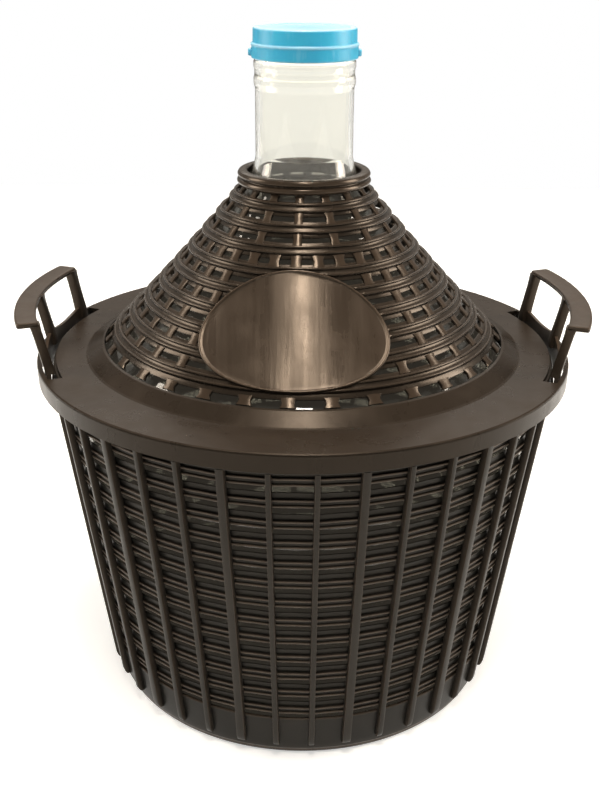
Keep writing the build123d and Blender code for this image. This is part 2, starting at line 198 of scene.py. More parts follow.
# ---- mesh gathering
class Shell:
    """Gathers grids of points into one mesh of closed surfaces, in millimetres until it is made."""

    def __init__(self) -> None:
        """Starts with nothing in it."""
        self.points: list[np.ndarray] = []
        self.quads: list[np.ndarray] = []
        self.triangles: list[np.ndarray] = [np.zeros((0, 3), dtype=int)]
        self.wear_and_highlight: list[np.ndarray] = []
        self.count = 0

    def _keep(self, points: np.ndarray, wear_and_highlight: Real) -> int:
        """Stores loose points with their share of rubbing and painted highlight and returns the
        index of the first.
        """
        first = self.count
        worn_and_lit = np.broadcast_to(np.asarray(wear_and_highlight, dtype=float), points.shape[:-1])
        self.points.append(points.reshape(-1, 3))
        self.wear_and_highlight.append(worn_and_lit.reshape(-1))
        self.count += worn_and_lit.size
        return first

    def grid(
        self, points: np.ndarray, wrap_rows: bool, wrap_columns: bool, wear_and_highlight: Real = 0.0
    ) -> np.ndarray:
        """Adds a sheet of quads over a grid of points.

        Args:
            points: rows by columns by three coordinates.
            wrap_rows: whether the last row joins the first.
            wrap_columns: whether the last column joins the first.
            wear_and_highlight: how much each point is rubbed and carries painted highlight, from 0
                to 1.

        Returns:
            The indices of the grid's points, rows by columns.
        """
        rows, columns = points.shape[:2]
        first = self._keep(points, wear_and_highlight)
        index = first + np.arange(rows * columns).reshape(rows, columns)
        full = index
        if wrap_rows:
            full = np.concatenate([full, full[:1]], axis=0)
        if wrap_columns:
            full = np.concatenate([full, full[:, :1]], axis=1)
        quad = np.stack([full[:-1, :-1], full[1:, :-1], full[1:, 1:], full[:-1, 1:]], axis=-1)
        self.quads.append(quad.reshape(-1, 4))
        return index

    def fan(self, ring: np.ndarray, middle: np.ndarray) -> None:
        """Closes a ring of point indices with triangles to one new point in its middle."""
        centre = self._keep(middle[None], 0.0)
        following = np.roll(ring, -1)
        self.triangles.append(np.stack([ring, following, np.full_like(ring, centre)], axis=-1))

    def turned(
        self,
        section: np.ndarray,
        segments: int,
        closed: bool = True,
        wear_and_highlight: Real = 0.0,
        swell: Callable[[np.ndarray], np.ndarray] = np.zeros_like,
        lift: Callable[[np.ndarray], np.ndarray] = np.zeros_like,
    ) -> None:
        """Adds a section turned about +Z.

        Args:
            section: radius and height of each point, anticlockwise when closed.
            segments: how many steps a turn has.
            closed: a closed section, or an open one whose two ends lie on the axis.
            wear_and_highlight: how much each section point is rubbed and carries painted highlight.
            swell: added to the radius, as a function of the angle.
            lift: added to the height, as a function of the angle.
        """
        angle = np.arange(segments) * TAU / segments
        ringed = slice(None) if closed else slice(1, -1)
        radius = section[ringed, 0] + swell(angle)[:, None]
        height = section[ringed, 1] + lift(angle)[:, None]
        worn_and_lit = np.broadcast_to(wear_and_highlight, len(section))[ringed]
        index = self.grid(about_axis(radius, angle[:, None], height), True, closed, worn_and_lit)
        if not closed:
            self.fan(index[:, 0], np.array([0.0, 0.0, section[0, 1]]))
            self.fan(index[:, -1], np.array([0.0, 0.0, section[-1, 1]]))

    def swept(self, stations: np.ndarray, wear_and_highlight: Real = 0.0) -> None:
        """Adds a bar whose outline is given at each station, with both ends closed by fans."""
        index = self.grid(stations, False, True, wear_and_highlight)
        for end in (0, -1):
            self.fan(index[end], stations[end].mean(axis=0))

    def made(self, name: str, sharp: float = 38.0) -> bpy.types.Object:
        """Turns what was gathered into an object at the origin, in metres.

        Args:
            name: the object's name.
            sharp: edges bent by more than this angle in degrees are shaded sharp.

        Returns:
            The new object, linked to the scene.
        """
        points = np.concatenate(self.points) * MM
        quads = np.concatenate(self.quads)
        triangles = np.concatenate(self.triangles)
        corners = np.concatenate([quads.reshape(-1), triangles.reshape(-1)])
        totals = np.concatenate([np.full(len(quads), 4), np.full(len(triangles), 3)])
        starts = np.concatenate([[0], np.cumsum(totals)[:-1]])
        mesh = bpy.data.meshes.new(name)
        mesh.vertices.add(len(points))
        mesh.vertices.foreach_set("co", points.reshape(-1))
        mesh.loops.add(len(corners))
        mesh.loops.foreach_set("vertex_index", corners.astype(np.int32))
        mesh.polygons.add(len(totals))
        mesh.polygons.foreach_set("loop_start", starts.astype(np.int32))
        mesh.update(calc_edges=True)
        mesh.validate()
        # The attribute holds rubbing and painted highlight on crests, edges and top faces, which
        # the materials mix towards a paler colour.
        worn_and_lit = mesh.attributes.new("wear_and_highlight", "FLOAT", "POINT")
        worn_and_lit.data.foreach_set("value", np.concatenate(self.wear_and_highlight).astype(np.float32))
        whole = bmesh.new()
        whole.from_mesh(mesh)
        bmesh.ops.recalc_face_normals(whole, faces=whole.faces)
        whole.to_mesh(mesh)
        whole.free()
        mesh.polygons.foreach_set("use_smooth", np.ones(len(mesh.polygons), dtype=bool))
        mesh.set_sharp_from_angle(angle=math.radians(sharp))
        return shown(name, mesh)


def settle(
    thing: bpy.types.Object,
    body: Body,
    material: bpy.types.Material,
    nodes: Sequence[str] = (),
) -> None:
    """Dresses a piece, makes it ride on its body and stand for its nodes, and reports it.

    Args:
        thing: the piece.
        body: the body that it moves with.
        material: its material.
        nodes: the nodes that it stands for.
    """
    thing.data.materials.clear()
    thing.data.materials.append(material)
    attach(thing, body.value)
    if nodes:
        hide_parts(*nodes)
    log.info("%s: %d faces, rides on %s", thing.name, len(thing.data.polygons), body.value)


# ---- shader writing
class Wire:
    """One socket's value in a node tree, with arithmetic that adds Math nodes."""

    def __init__(self, sheet: "Sheet", socket: bpy.types.NodeSocket) -> None:
        """Wraps the output socket of a node on the sheet."""
        self.sheet = sheet
        self.socket = socket

    def _math(self, operation: str, first: object, second: object) -> "Wire":
        """Adds one Math node that works on two values or wires."""
        return self.sheet.node("Math", {0: first, 1: second}, operation=operation)

    def __add__(self, other: object) -> "Wire":
        """Sum with a number or a wire."""
        return self._math("ADD", self, other)

    def __radd__(self, other: object) -> "Wire":
        """Sum with a number on the left."""
        return self._math("ADD", other, self)

    def __sub__(self, other: object) -> "Wire":
        """Difference with a number or a wire."""
        return self._math("SUBTRACT", self, other)

    def __mul__(self, other: object) -> "Wire":
        """Product with a number or a wire."""
        return self._math("MULTIPLY", self, other)

    def __rmul__(self, other: object) -> "Wire":
        """Product with a number on the left."""
        return self._math("MULTIPLY", other, self)

    def __pow__(self, other: object) -> "Wire":
        """This wire raised to a power."""
        return self._math("POWER", self, other)

    def at_most(self, other: object) -> "Wire":
        """The smaller of this wire and another value."""
        return self._math("MINIMUM", self, other)

    def at_least(self, other: object) -> "Wire":
        """The larger of this wire and another value."""
        return self._math("MAXIMUM", self, other)


class Sheet:
    """The node tree of a material or a world, written from the coordinates to the output."""

    def __init__(
        self, owner: Union[bpy.types.Material, bpy.types.World], coordinates: str = "Object"
    ) -> None:
        """Empties the owner's tree and starts it with the coordinates of that name."""
        self.owner = owner
        owner.use_nodes = True
        self.tree = owner.node_tree
        self.tree.nodes.clear()
        self.place = self.node("TexCoord", {}, coordinates)

    def node(
        self,
        kind: str,
        inputs: dict[Union[int, str], object],
        output: Union[int, str] = 0,
        **settings: object,
    ) -> Wire:
        """Adds one node.

        Args:
            kind: the node's type, without the words that every type starts with.
            inputs: numbers, colours or wires for its sockets, by index or name.
            output: the output socket to hand back, by index or name.
            settings: properties set before anything is linked; stops fills a colour ramp.

        Returns:
            The wire of that output.
        """
        made = self.tree.nodes.new("ShaderNode" + kind)
        stops = settings.pop("stops", ())
        for _ in stops[2:]:
            made.color_ramp.elements.new(0.5)
        for index, (where, shade) in enumerate(stops):
            made.color_ramp.elements[index].position = where
            made.color_ramp.elements[index].color = (*shade, 1.0)
        for key, value in settings.items():
            setattr(made, key, value)
        for key, value in inputs.items():
            if isinstance(value, Wire):
                self.tree.links.new(value.socket, made.inputs[key])
            else:
                made.inputs[key].default_value = value
        return Wire(self, made.outputs[output])

    def spots(self, scale: float, detail: float, stretch: Triple = (1.0, 1.0, 1.0)) -> Wire:
        """Noise from 0 to 1 on Object coordinates, scale cells to the metre, stretched per axis."""
        place = self.node("Mapping", {"Vector": self.place, "Scale": stretch})
        return self.node("TexNoise", {"Vector": place, "Scale": scale, "Detail": detail}, "Fac")

    def between(self, value: Wire, low: float, high: float) -> Wire:
        """A value sent through a grey ramp, black up to low and white from high."""
        stops = [(low, (0.0, 0.0, 0.0)), (high, (1.0, 1.0, 1.0))]
        return self.node("ValToRGB", {"Fac": value}, "Color", stops=stops)

    def mixed(self, share: Wire, low: object, high: object) -> Wire:
        """Colour mixed from low to high by share."""
        low = (*low, 1.0) if isinstance(low, tuple) else low
        high = (*high, 1.0) if isinstance(high, tuple) else high
        return self.node("Mix", {0: share, 6: low, 7: high}, 2, data_type="RGBA")

    def worn_and_lit(self) -> Wire:
        """How rubbed the piece is and how much painted highlight it carries, from its own
        attribute.
        """
        return self.node("Attribute", {}, "Fac", attribute_name="wear_and_highlight")

    def upward(self) -> Wire:
        """How far the surface faces up: 1 when level, 0 when upright or facing down."""
        facing = self.node("NewGeometry", {}, "Normal")
        return self.node("SeparateXYZ", {"Vector": facing}, "Z").at_least(0.0)

    def bump(self, height: Wire, strength: float, distance: float) -> Wire:
        """Normal that leans as if the surface had that height, times distance in metres."""
        inputs = {"Strength": strength, "Distance": distance, "Height": height}
        return self.node("Bump", inputs, "Normal")

    def output(self, kind: str, shader: Wire) -> None:
        """Links a shader to a new output node of that kind."""
        end = self.tree.nodes.new("ShaderNode" + kind)
        self.tree.links.new(shader.socket, end.inputs["Surface"])

    def finished(self, inputs: dict[str, object]) -> bpy.types.Material:
        """Gives the material one principled shader with those inputs and hands it back."""
        self.output("OutputMaterial", self.node("BsdfPrincipled", inputs, "BSDF"))
        return self.owner


@dataclass(frozen=True)
class MouldedPlastic:
    """Dark moulded polyethylene: flow streaks, fine grain, pale film and painted highlight on edges
    and tops.
    """

    name: str
    deep: Triple = (0.0065, 0.0058, 0.0048)
    warm: Triple = (0.0150, 0.0118, 0.0090)
    # Pale colour of chalky film and dust, also used as painted highlight.
    bloom_and_highlight: Triple = (0.068, 0.046, 0.031)
    dust_and_highlight_share: float = 0.55
    roughness: float = 0.36
    gloss: float = 0.33
    sheen: tuple[float, float, float, float] = (1.0, 0.80, 0.62, 1.0)
    wear_and_highlight_share: float = 0.30
    streaks: float = 0.5
    streak_scale: float = 55.0
    streak_stretch: Triple = (1.0, 1.0, 0.12)
    grain: float = 0.18

    def made(self) -> bpy.types.Material:
        """Writes the material."""
        sheet = Sheet(bpy.data.materials.new(self.name))
        cloud = sheet.spots(9.0, 4.0)
        streak = sheet.spots(self.streak_scale, 4.0, self.streak_stretch)
        flow = sheet.between(streak, 0.35, 0.7)
        fleck = sheet.between(sheet.spots(700.0, 2.0), 0.62, 0.74)
        smear = sheet.between(sheet.spots(38.0, 5.0), 0.45, 0.72)
        worn_and_lit = sheet.worn_and_lit()
        base = sheet.mixed(cloud, self.deep, self.warm)
        # Upward faces turn paler: partly dust, partly painted highlight of the light from above.
        dust_and_top_highlight = (sheet.upward() ** 1.5) * self.dust_and_highlight_share * (0.62 + 0.38 * cloud)
        # Rubbed edges and crests from the attribute turn paler too, partly as painted highlight.
        share = (dust_and_top_highlight + worn_and_lit * self.wear_and_highlight_share + fleck * 0.06 + smear * 0.05).at_most(1.0)
        rough = self.roughness + flow * (0.16 * self.streaks) + smear * 0.10 - worn_and_lit * 0.06
        relief = sheet.spots(1500.0, 2.0) * self.grain + flow * (0.5 * self.streaks) + cloud * 0.8
        return sheet.finished(
            {
                "Base Color": sheet.mixed(share, base, self.bloom_and_highlight),
                "Roughness": rough,
                "Normal": sheet.bump(relief, 0.35, 0.0006),
                "Specular IOR Level": self.gloss,
                "Specular Tint": self.sheen,
            }
        )


@dataclass(frozen=True)
class CapPlastic:
    """Light blue polyethylene: soft gloss, cloudy pigment, scuffs, fine grain and a painted
    highlight on top.
    """

    name: str = "cap_polyethylene"
    deep: Triple = (0.012, 0.290, 0.500)
    pale: Triple = (0.035, 0.410, 0.620)
    chalk_and_highlight: Triple = (0.50, 0.68, 0.77)
    roughness: float = 0.34

    def made(self) -> bpy.types.Material:
        """Writes the material."""
        sheet = Sheet(bpy.data.materials.new(self.name))
        cloud = sheet.spots(45.0, 4.0)
        scuff = sheet.between(sheet.spots(260.0, 5.0, (1.0, 1.0, 0.25)), 0.56, 0.72)
        base = sheet.mixed(cloud, self.deep, self.pale)
        # Rubbed beads, scuffs and upward faces turn chalky pale: partly scuffing, partly painted
        # highlight on the top.
        share = sheet.worn_and_lit() * 0.45 + scuff * 0.10 + (sheet.upward() ** 2.0) * 0.42
        relief = sheet.spots(900.0, 2.0) * 0.3 + cloud * 0.6
        return sheet.finished(
            {
                "Base Color": sheet.mixed(share.at_most(1.0), base, self.chalk_and_highlight),
                "Roughness": self.roughness + scuff * 0.12 + cloud * 0.10,
                "Normal": sheet.bump(relief, 0.25, 0.0005),
                "IOR": 1.5,
                "Subsurface Weight": 0.12,
                "Subsurface Scale": 0.004,
            }
        )


@dataclass(frozen=True)
class BottleGlass:
    """Pressed glass with a faint green tint, slow ripples and a thin film of dust.

    It is clear in the neck. In the body its colour is a smoky grey, a painted shade for the dark
    inside its basket, and there it carries a very faint painted glow for the light scattered by its
    walls.
    """

    name: str = "demijohn_glass"
    tint: Triple = (0.975, 0.965, 0.905)
    haze: Triple = (0.93, 0.93, 0.87)
    # Painted shade: the body's dark colour stands for the shade inside the basket.
    painted_shade_tint: Triple = (0.19, 0.19, 0.17)
    # Painted glow of the body, for the light scattered by its walls; no lamp.
    painted_glow: Triple = (0.0150, 0.0130, 0.0105)
    clear_from: float = 0.476
    clear_rate: float = 60.0
    polish: float = 0.015
    refraction: float = 1.5
    clearness: float = 0.96

    def made(self) -> bpy.types.Material:
        """Writes the material."""
        sheet = Sheet(bpy.data.materials.new(self.name))
        slow = sheet.spots(14.0, 2.0, (1.0, 1.0, 0.5))
        film = sheet.between(sheet.spots(120.0, 4.0), 0.55, 0.8)
        height = sheet.node("SeparateXYZ", {"Vector": sheet.place}, "Z")
        above = ((height - self.clear_from) * self.clear_rate).at_least(0.0).at_most(1.0)
        clear = sheet.mixed(film * 0.5, self.tint, self.haze)
        return sheet.finished(
            {
                # Below clear_from the colour is the painted shade; above it the glass is clear.
                "Base Color": sheet.mixed(above, self.painted_shade_tint, clear),
                "Roughness": self.polish + film * 0.05,
                "Normal": sheet.bump(slow, 0.30, 0.0010),
                "IOR": self.refraction,
                "Transmission Weight": self.clearness,
                # Below clear_from the body glows faintly: painted light, no lamp.
                "Emission Color": sheet.mixed(above, self.painted_glow, (0.0, 0.0, 0.0)),
                "Emission Strength": 1.0,
            }
        )


@dataclass(frozen=True)
class FloorPaper:
    """Pale studio paper under the object, lit a little from behind."""

    name: str = "studio_paper"
    glow: float = 0.55

    def made(self) -> bpy.types.Material:
        """Writes the material."""
        sheet = Sheet(bpy.data.materials.new(self.name))
        cloud = sheet.spots(3.0, 3.0)
        colour = sheet.mixed(cloud, (0.86, 0.86, 0.85), (0.90, 0.90, 0.89))
        return sheet.finished(
            {
                "Base Color": colour,
                "Roughness": 0.8 + cloud * 0.1,
                "Emission Color": colour,
                "Emission Strength": self.glow,
            }
        )


# ---- shared shape of the object
@dataclass(frozen=True)
class WallCone:
    """The basket's wall: the radius of its hoops grows evenly with height."""

    foot: float = 184.0
    slope: float = 0.1435

    def radius(self, height: Real) -> Real:
        """Outer hoop radius at a height: foot plus slope times height."""
        return self.foot + self.slope * height


@dataclass(frozen=True)
class CoverCone:
    """The cover's nominal surface: a straight fall with a slight sag, as height over radius."""

    top_radius: float = 49.6
    top_height: float = 486.1
    foot_radius: float = 188.0
    drop: float = 153.9
    sag: float = 17.5

    def height(self, radius: Real) -> Real:
        """Height at a radius: top - drop t - sag t (1 - t), t running from 0 to 1."""
        t = (radius - self.top_radius) / (self.foot_radius - self.top_radius)
        return self.top_height - self.drop * t - self.sag * t * (1 - t)

    def slant(self, radius: Real) -> tuple[np.ndarray, np.ndarray]:
        """Unit vector down the slant at a radius, as its radial and its vertical part."""
        span = self.foot_radius - self.top_radius
        t = (radius - self.top_radius) / span
        fall = -(self.drop + self.sag * (1 - 2 * t)) / span
        length = np.sqrt(1.0 + fall**2)
        return 1.0 / length, fall / length

    def beside(self, radius: Real, along: Real, out: Real) -> tuple[np.ndarray, np.ndarray]:
        """Radius and height of points along the slant and out along its normal from one radius."""
        down_r, down_z = self.slant(radius)
        return (
            radius + along * down_r - out * down_z,
            self.height(radius) + along * down_z + out * down_r,
        )


@dataclass(frozen=True)
class PlateOutline:
    """The label plate's place on the cover and its egg-shaped outline."""

    cone: CoverCone = field(default_factory=CoverCone)
    bearing: float = math.radians(-93.3)
    middle: float = 137.1
    half_width: float = 78.4
    half_height: float = 54.3
    reach: tuple[float, float] = (78.0, 215.0)
    halvings: int = 40
    far_side: float = 9.0

    def inside(self, points: np.ndarray) -> np.ndarray:
        """How far out each point lies, 1 on the outline: seen along the plate's normal.

        The sideways distance over the half width and the distance down the slant over the half
        height are squared, added and rooted.
        """
        across, down = self.flat(points)
        level = np.sqrt((across / self.half_width) ** 2 + (down / self.half_height) ** 2)
        facing = points[..., 0] * math.cos(self.bearing) + points[..., 1] * math.sin(self.bearing)
        return np.where(facing > 0, level, self.far_side)

    def flat(self, points: np.ndarray) -> tuple[np.ndarray, np.ndarray]:
        """Sideways and down-slant distances of points from the plate's middle."""
        sideways = np.array([-math.sin(self.bearing), math.cos(self.bearing)])
        forward = np.array([math.cos(self.bearing), math.sin(self.bearing)])
        down_r, down_z = self.cone.slant(self.middle)
        across = points[..., :2] @ sideways
        down = (points[..., :2] @ forward - self.middle) * down_r
        down = down + (points[..., 2] - self.cone.height(self.middle)) * down_z
        return across, down

    def on_cone(self, across: np.ndarray, down: np.ndarray, out: np.ndarray) -> np.ndarray:
        """Points of the cone that lie at those flat distances, raised along the cone's normal.

        The radius is found by halving: at radius r the bearing offset is asin(across / r), and
        the down-slant distance grows steadily with r.
        """
        down_r, down_z = self.cone.slant(self.middle)
        low, high = (np.full(across.shape, end) for end in self.reach)
        for _ in range(self.halvings):
            r = (low + high) / 2
            turn = np.arcsin(np.clip(across / r, -0.999, 0.999))
            reach = (r * np.cos(turn) - self.middle) * down_r
            reach = reach + (self.cone.height(r) - self.cone.height(self.middle)) * down_z
            low = np.where(reach < down, r, low)
            high = np.where(reach < down, high, r)
        radius, height = self.cone.beside(r, 0.0, out)
        return about_axis(radius, self.bearing + turn, height)


# ---- basket
@dataclass
class Basket:
    """Floor with its foot ring and band, hoops with two ridges each, outer ribs and rim."""

    material: bpy.types.Material
    wall: WallCone = field(default_factory=WallCone)
    band_top: float = 43.5
    hoop_count: int = 13
    hoop_first: float = 52.5
    hoop_pitch: float = 20.0
    rib_count: int = 38
    rib_front: float = math.radians(273.0)
    rib_wide: float = 7.6
    hoop_dip: float = 0.3
    segments: int = 288
    rib_narrow: float = 5.0
    rib_depth: float = 5.5
    rib_foot: float = 14.0
    rib_top: float = 303.0

    def base(self) -> bpy.types.Object:
        """Floor, foot ring and bottom band as one section turned about the axis."""
        low, high = self.wall.radius(self.rib_foot), self.wall.radius(self.band_top)
        corners = [
            (0.0, 4.0), (158.0, 4.0), (162.0, 0.0), (180.0, 0.0), (182.8, 3.0), (183.4, 6.0),
            (low - 1.2, 7.2), (low, self.rib_foot), (high, self.band_top - 0.8),
            (high - 0.6, self.band_top), (high - 3.2, self.band_top), (179.5, 11.0),
            (176.0, 8.0), (0.0, 8.0),
        ]
        section = softened(corners, 1.2, closed=False)
        top_edge = 1.0 - ramped(np.abs(section[:, 1] - self.band_top), 0.0, 2.0)
        foot_edge = 1.0 - ramped(np.abs(section[:, 1] - 5.0), 0.0, 4.0)
        # Band top and foot edges turn paler: partly rubbing, partly painted highlight.
        worn_and_lit = np.maximum(top_edge * 0.7, foot_edge * (section[:, 0] > 181.0))
        shell = Shell()
        shell.turned(section, self.segments, closed=False, wear_and_highlight=worn_and_lit)
        return shell.made("basket_floor_and_band")

    def hoops(self) -> bpy.types.Object:
        """Hoops: a pair of rounded ridges, and above them a flat ledge set back from the ridges.

        The radius follows the wall and dips a little midway between ribs by a raised cosine,
        and a slow ripple lets each hoop waver in height.
        """
        turn = np.linspace(0.0, math.pi, 6)
        ridge = np.stack([-1.15 * np.cos(turn), -0.9 + 1.0 * np.sin(turn)], axis=-1)
        foot = [(-4.0, -3.2), (-4.0, -1.3)]
        middle = [(-1.2, -1.5), (1.2, -1.5)]
        ledge = [(4.1, -2.3), (9.3, -2.4), (9.7, -2.7), (9.7, -3.2)]
        outline = np.concatenate([foot, ridge + (-2.75, 0), middle, ridge + (2.75, 0), ledge])
        shell = Shell()
        for index in range(self.hoop_count):
            height = self.hoop_first + index * self.hoop_pitch + outline[:, 0]
            section = np.stack([self.wall.radius(height) + outline[:, 1], height], axis=-1)
            shell.turned(
                section[::-1],
                8 * self.rib_count,
                # Ridge crests turn paler and the set-back ledges stay dark: painted highlight,
                # partly rubbing.
                wear_and_highlight=ramped(outline[::-1, 1], -0.75, 0.7),
                swell=lambda a, seed=40 + index: self.hoop_dip
                * np.cos(self.rib_count * (a - self.rib_front))
                - self.hoop_dip
                + ripple(a, seed, 0.10),
                lift=lambda a, seed=80 + index: ripple(a, seed, 0.30, (3, 14)),
            )
        return shell.made("basket_hoops_ridged")

    def ribs(self) -> bpy.types.Object:
        """Upright ribs, every third one wide.

        Each is a softened rectangle carried up the wall's slope; its outer face leans back at
        the foot, and its width tapers by a tenth towards the top.
        """
        foot = self.rib_foot + np.array([0.0, 0.6, 2.5, 6.0])
        height = np.concatenate([foot, np.linspace(30.0, self.rib_top, 24)])
        shrink = 1.0 - 0.1 * (height - self.rib_foot) / (self.rib_top - self.rib_foot)
        inner = self.wall.radius(height) - 1.3
        outer = self.wall.radius(height) + np.interp(height, foot, [3.2, 3.9, 4.8, self.rib_depth])
        middle = (inner + outer)[:, None] / 2
        depth = (outer - inner)[:, None]
        shell = Shell()
        for index in range(self.rib_count):
            turn = self.rib_front + index * TAU / self.rib_count
            step = index if index <= self.rib_count // 2 else index - self.rib_count
            width = self.rib_wide if step % 3 == 1 else self.rib_narrow
            across, face = rounded_box(width, 1.0, 0.9, 2).T
            sway = ripple(height / self.rib_top * 1.7, 200 + index, 0.22, (1, 4))
            radial = middle + rounded_box(width, 6.8, 1.1, 2)[:, 1] / 6.8 * depth
            sideways = across * shrink[:, None] + sway[:, None]
            edge = ramped(np.abs(across) / (width / 2), 0.75, 0.25) * (face > 0)
            # Rib face edges turn paler: partly rubbing, partly painted highlight.
            shell.swept(about_axis(radial, turn, height[:, None], sideways), edge * 0.55 + 0.1)
        return shell.made("basket_outer_ribs")

    def rim(self) -> bpy.types.Object:
        """Top rim under the cover's flange, a stepped ring."""
        corners = [
            (223.0, 303.0), (232.9, 303.0), (232.9, 308.0), (230.5, 310.4), (230.5, 321.0),
            (229.5, 322.0), (224.0, 322.0), (223.0, 321.0),
        ]
        shell = Shell()
        shell.turned(softened(corners, 0.8), self.segments, wear_and_highlight=0.1)
        return shell.made("basket_top_rim")

    def build(self) -> None:
        """Builds the basket's four pieces."""
        pieces = {
            "basket_base": self.base(),
            "basket_hoops": self.hoops(),
            "basket_ribs": self.ribs(),
            "basket_rim": self.rim(),
        }
        for node, piece in pieces.items():
            settle(piece, Body.BASKET, self.material, [node])


# ---- glass
@dataclass
class Demijohn:
    """The glass vessel: heel, belly, shoulder, straight neck, bead and fire-rounded lip."""

    material: bpy.types.Material
    neck: float = 43.0
    throat: float = 38.5
    segments: int = 240

    def outside(self) -> np.ndarray:
        """Outer profile from the axis under the punt to the lip."""
        belly = smooth_through(
            [
                (146, 8.4), (166, 15.0), (179.5, 34.0), (186, 62.0), (192, 100.0), (198, 140.0),
                (203.8, 180.0), (209.6, 220.0), (213, 252.0), (210.5, 280.0), (199, 306.0),
                (179, 328.5), (154, 351.5), (128, 377.5), (103, 405.0), (80, 433.0), (61, 460.0),
                (48.4, 482.0), (self.neck, 502.0),
            ],
            110,
        )
        under = np.array(
            [(0.0, 15.0), (40.0, 14.2), (70.0, 12.9), (96.0, 11.5), (118.0, 8.9), (126.0, 8.4)]
        )
        height = np.linspace(503.0, 559.0, 16)
        straight = np.stack([np.full(16, self.neck), height], axis=-1)
        bead = softened(
            [
                (43.0, 561.0), (44.2, 564.5), (44.2, 569.5), (43.4, 571.5), (43.4, 576.5),
                (44.2, 578.5), (44.2, 583.5), (42.6, 585.0), (42.6, 600.0),
            ],
            1.6,
            closed=False,
            steps=4,
        )
        turn = np.linspace(0.0, math.pi, 13)
        lip = np.stack([40.55 + 2.05 * np.cos(turn), 604.9 + 2.1 * np.sin(turn)], axis=-1)
        return np.concatenate([under, belly, straight, bead, lip])

    def inside(self) -> np.ndarray:
        """Inner profile from the throat down to the axis over the punt."""
        height = np.linspace(600.0, 504.0, 16)
        straight = np.stack([np.full(16, self.throat), height], axis=-1)
        belly = smooth_through(
            [
                (self.throat, 502.0), (46.6, 474.0), (62.8, 448.4), (80.4, 425.0), (99.1, 402.4),
                (118.6, 381.0), (138.7, 360.2), (159.8, 340.0), (181.0, 320.8), (198.4, 299.6),
                (206.6, 274.0), (208.3, 248.0), (204.6, 217.7), (196.1, 160.7), (187.8, 103.9),
                (183.2, 75.6), (177.6, 47.3), (165.8, 23.2), (146.0, 14.0),
            ],
            90,
        )
        floor = np.array(
            [(126.0, 14.0), (112.0, 14.3), (90.0, 17.5), (60.0, 19.3), (30.0, 20.6), (0.0, 21.0)]
        )
        return np.concatenate([straight, belly, floor])

    def build(self) -> None:
        """Builds the vessel as one closed wall turned about the axis."""
        shell = Shell()
        section = np.concatenate([self.outside(), self.inside()])
        shell.turned(section, self.segments, closed=False)
        glass = shell.made("demijohn_vessel", sharp=60.0)
        rings = ["carboy_neck", "carboy_shoulder", "carboy_belly", "carboy_foot"]
        settle(glass, Body.CARBOY, self.material, rings)


# ---- cap
@dataclass
class SnapCap:
    """Blue cap: sunken top, raised tear line, wider lower band and two pull lugs."""

    material: bpy.types.Material
    lug_reach: float = 48.6
    lug_height: float = 590.2
    segments: int = 192

    def build(self) -> None:
        """Builds the cap as a turned section with two softened lugs."""
        section = softened(
            [
                (0.0, 610.6), (30.0, 610.4), (38.2, 610.3), (39.6, 611.4), (43.0, 611.5),
                (44.6, 610.4), (44.8, 598.6), (46.4, 598.0), (46.5, 596.5), (45.8, 595.6),
                (46.1, 586.4), (45.4, 585.4), (43.0, 585.4), (43.0, 607.4), (0.0, 607.4),
            ],
            0.9,
            closed=False,
            steps=4,
        )
        r, z = section.T
        rim = np.exp(-((z - 611.3) / 0.8) ** 2) * (r > 37.0)
        line = np.exp(-((z - 597.3) / 0.9) ** 2) * (r > 44.5)
        foot = np.exp(-((z - 585.6) / 0.8) ** 2) * (r > 44.0)
        # The whole top face turns paler: partly rubbing, partly painted highlight of the light from
        # above.
        crown = 0.55 * (z > 610.2)
        worn_and_lit = np.clip(np.maximum.reduce([rim, line, 0.7 * foot, crown]), 0, 1)
        shell = Shell()
        shell.turned(
            section,
            self.segments,
            closed=False,
            wear_and_highlight=worn_and_lit,
            swell=lambda a: ripple(a, 7, 0.05) * 0.5,
        )
        across, up = rounded_box(10.0, 6.2, 1.6, 3).T
        reach = np.array([44.6, 45.6, 47.4, 48.2, self.lug_reach])[:, None]
        size = np.array([1.0, 1.0, 0.97, 0.9, 0.72])[:, None]
        for side in (-1.0, 1.0):
            lug = np.broadcast_arrays(side * reach, across * size, self.lug_height + up * size)
            shell.swept(np.stack(lug, axis=-1), wear_and_highlight=0.25)
        cap = shell.made("snap_cap")
        settle(cap, Body.CAP, self.material, ["cap"])


